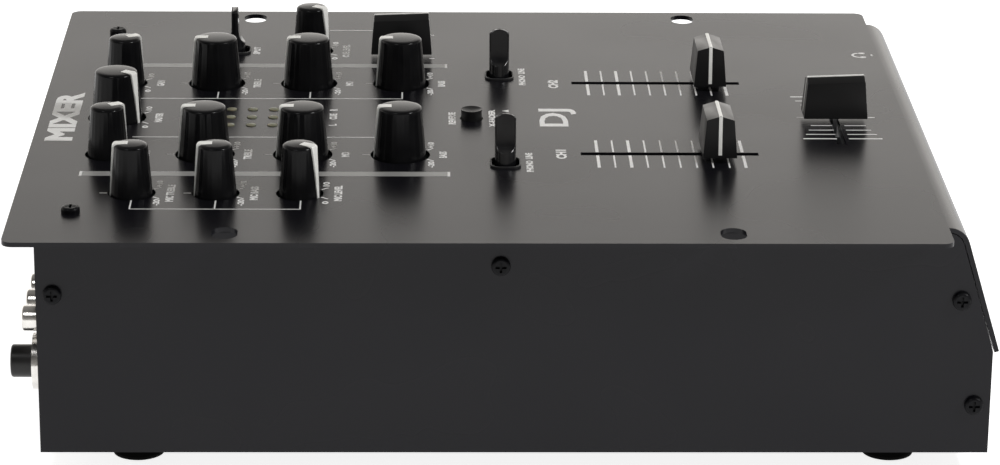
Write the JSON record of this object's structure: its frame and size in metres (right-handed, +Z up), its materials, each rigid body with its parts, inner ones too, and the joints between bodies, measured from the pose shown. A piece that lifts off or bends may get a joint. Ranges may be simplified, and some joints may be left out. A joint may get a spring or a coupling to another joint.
{
  "type": "dj mixer",
  "caption": "Ten-inch two-channel desktop mixer: bent steel faceplate with rack ears, folded tray, turning knobs, sliding faders, bat toggles and push buttons.",
  "frame": {"origin": "on the table, under the middle of the part's box", "axes": "+X to the player's right, +Y to the rear panel, +Z up"},
  "size_m": [0.254, 0.3094, 0.0982],
  "materials": {
    "black_paint": "satin black powder coat",
    "zinc_steel": "zinc-plated sheet",
    "foot_rubber": "matt black rubber",
    "black_screws": "black oxide",
    "knob_plastic": "satin black with a white pointer line",
    "shaft_metal": "turned",
    "lever_metal": "plain strip",
    "fader_plastic": "satin black with a white centre line",
    "toggle_plastic": "satin black",
    "button_plastic": "satin black",
    "switch_plastic": "moulded",
    "light_plastic": "frosted diffuser",
    "board_laminate": "green solder mask",
    "brass": "turned",
    "nickel_plate": "bright nickel",
    "jack_plastic": "moulded black"
  },
  "bodies": {
    "root": {"board_standoffs": "brass", "case_screws": "black_screws", "channel_fader_frames": "zinc_steel", "chassis_tray": "black_paint", "control_board": "board_laminate", "cover_brackets": "zinc_steel", "crossfader_frame": "zinc_steel", "cue_fader_frame": "zinc_steel", "faceplate": "black_paint", "front_panel": "black_paint", "ground_post": "nickel_plate", "main_board": "board_laminate", "meter_lights": "light_plastic", "panel_nuts": "nickel_plate", "phone_jacks": "jack_plastic", "pot_bodies": "zinc_steel", "power_inlet": "jack_plastic", "rca_jacks": "nickel_plate", "rear_panel": "black_paint", "rubber_feet": "foot_rubber", "switch_bodies": "switch_plastic"},
    "mic_treble": {"mic_treble_knob": "knob_plastic", "mic_treble_shaft": "shaft_metal"},
    "mic_bass": {"mic_bass_knob": "knob_plastic", "mic_bass_shaft": "shaft_metal"},
    "mic_level": {"mic_level_knob": "knob_plastic", "mic_level_shaft": "shaft_metal"},
    "left_gain": {"left_gain_knob": "knob_plastic", "left_gain_shaft": "shaft_metal"},
    "left_treble": {"left_treble_knob": "knob_plastic", "left_treble_shaft": "shaft_metal"},
    "left_mid": {"left_mid_knob": "knob_plastic", "left_mid_shaft": "shaft_metal"},
    "left_bass": {"left_bass_knob": "knob_plastic", "left_bass_shaft": "shaft_metal"},
    "master_level": {"master_level_knob": "knob_plastic", "master_level_shaft": "shaft_metal"},
    "right_gain": {"right_gain_knob": "knob_plastic", "right_gain_shaft": "shaft_metal"},
    "right_treble": {"right_treble_knob": "knob_plastic", "right_treble_shaft": "shaft_metal"},
    "right_mid": {"right_mid_knob": "knob_plastic", "right_mid_shaft": "shaft_metal"},
    "right_bass": {"right_bass_knob": "knob_plastic", "right_bass_shaft": "shaft_metal"},
    "cue_level": {"cue_level_knob": "knob_plastic", "cue_level_shaft": "shaft_metal"},
    "left_fader": {"left_fader_lever": "lever_metal", "left_fader_cap": "fader_plastic"},
    "right_fader": {"right_fader_lever": "lever_metal", "right_fader_cap": "fader_plastic"},
    "crossfader": {"crossfader_lever": "lever_metal", "crossfader_cap": "fader_plastic"},
    "cue_fader": {"cue_fader_lever": "lever_metal", "cue_fader_cap": "fader_plastic"},
    "left_input_toggle": {"left_input_toggle": "toggle_plastic"},
    "right_input_toggle": {"right_input_toggle": "toggle_plastic"},
    "cue_split_toggle": {"cue_split_toggle": "toggle_plastic"},
    "fader_reverse_button": {"fader_reverse_button": "button_plastic"},
    "power_button": {"power_button": "button_plastic"}
  },
  "joints": [
    {"name": "mic_treble_turn", "type": "hinge", "parent": "root", "child": "mic_treble", "pos_m": [-0.0802, 0.11666, 0.0814], "axis": [0, 0, 1], "range_deg": [-150, 150]},
    {"name": "mic_bass_turn", "type": "hinge", "parent": "root", "child": "mic_bass", "pos_m": [-0.0802, 0.09026, 0.0814], "axis": [0, 0, 1], "range_deg": [-150, 150]},
    {"name": "mic_level_turn", "type": "hinge", "parent": "root", "child": "mic_level", "pos_m": [-0.0802, 0.06386, 0.0814], "axis": [0, 0, 1], "range_deg": [-300, 0]},
    {"name": "left_gain_turn", "type": "hinge", "parent": "root", "child": "left_gain", "pos_m": [-0.041, 0.12716, 0.0814], "axis": [0, 0, 1], "range_deg": [0, 300]},
    {"name": "left_treble_turn", "type": "hinge", "parent": "root", "child": "left_treble", "pos_m": [-0.041, 0.09576, 0.0814], "axis": [0, 0, 1], "range_deg": [-150, 150]},
    {"name": "left_mid_turn", "type": "hinge", "parent": "root", "child": "left_mid", "pos_m": [-0.041, 0.06406, 0.0814], "axis": [0, 0, 1], "range_deg": [-150, 150]},
    {"name": "left_bass_turn", "type": "hinge", "parent": "root", "child": "left_bass", "pos_m": [-0.041, 0.03236, 0.0814], "axis": [0, 0, 1], "range_deg": [-150, 150]},
    {"name": "master_level_turn", "type": "hinge", "parent": "root", "child": "master_level", "pos_m": [-0.0018, 0.12716, 0.0814], "axis": [0, 0, 1], "range_deg": [-300, 0]},
    {"name": "right_gain_turn", "type": "hinge", "parent": "root", "child": "right_gain", "pos_m": [0.0374, 0.12716, 0.0814], "axis": [0, 0, 1], "range_deg": [0, 300]},
    {"name": "right_treble_turn", "type": "hinge", "parent": "root", "child": "right_treble", "pos_m": [0.0374, 0.09576, 0.0814], "axis": [0, 0, 1], "range_deg": [-150, 150]},
    {"name": "right_mid_turn", "type": "hinge", "parent": "root", "child": "right_mid", "pos_m": [0.0374, 0.06406, 0.0814], "axis": [0, 0, 1], "range_deg": [-150, 150]},
    {"name": "right_bass_turn", "type": "hinge", "parent": "root", "child": "right_bass", "pos_m": [0.0374, 0.03236, 0.0814], "axis": [0, 0, 1], "range_deg": [-150, 150]},
    {"name": "cue_level_turn", "type": "hinge", "parent": "root", "child": "cue_level", "pos_m": [0.0766, 0.06406, 0.0814], "axis": [0, 0, 1], "range_deg": [-300, 0]},
    {"name": "left_fader_slide", "type": "slide", "parent": "root", "child": "left_fader", "axis": [0, 1, 0], "range_m": [-0.0069, 0.0381]},
    {"name": "right_fader_slide", "type": "slide", "parent": "root", "child": "right_fader", "axis": [0, 1, 0], "range_m": [-0.0043, 0.0407]},
    {"name": "crossfader_slide", "type": "slide", "parent": "root", "child": "crossfader", "axis": [1, 0, 0], "range_m": [-0.0199, 0.0251]},
    {"name": "cue_fader_slide", "type": "slide", "parent": "root", "child": "cue_fader", "axis": [1, 0, 0], "range_m": [-0.004, 0.026]},
    {"name": "left_input_toggle_tip", "type": "hinge", "parent": "root", "child": "left_input_toggle", "pos_m": [-0.0502, -0.00164, 0.0754], "axis": [0, 1, 0], "range_deg": [-24, 0]},
    {"name": "right_input_toggle_tip", "type": "hinge", "parent": "root", "child": "right_input_toggle", "pos_m": [0.0466, -0.00164, 0.0754], "axis": [0, 1, 0], "range_deg": [-24, 0]},
    {"name": "cue_split_toggle_tip", "type": "hinge", "parent": "root", "child": "cue_split_toggle", "pos_m": [0.0766, 0.09116, 0.0754], "axis": [1, 0, 0], "range_deg": [-12, 12]},
    {"name": "fader_reverse_press", "type": "slide", "parent": "root", "child": "fader_reverse_button", "axis": [0, 0, -1], "range_m": [0, 0.0015], "stiffness_N_per_m": 600, "springref_m": -0.0006},
    {"name": "power_press", "type": "slide", "parent": "root", "child": "power_button", "axis": [0, -1, 0], "range_m": [0, 0.003], "stiffness_N_per_m": 800, "springref_m": -0.0006}
  ]
}
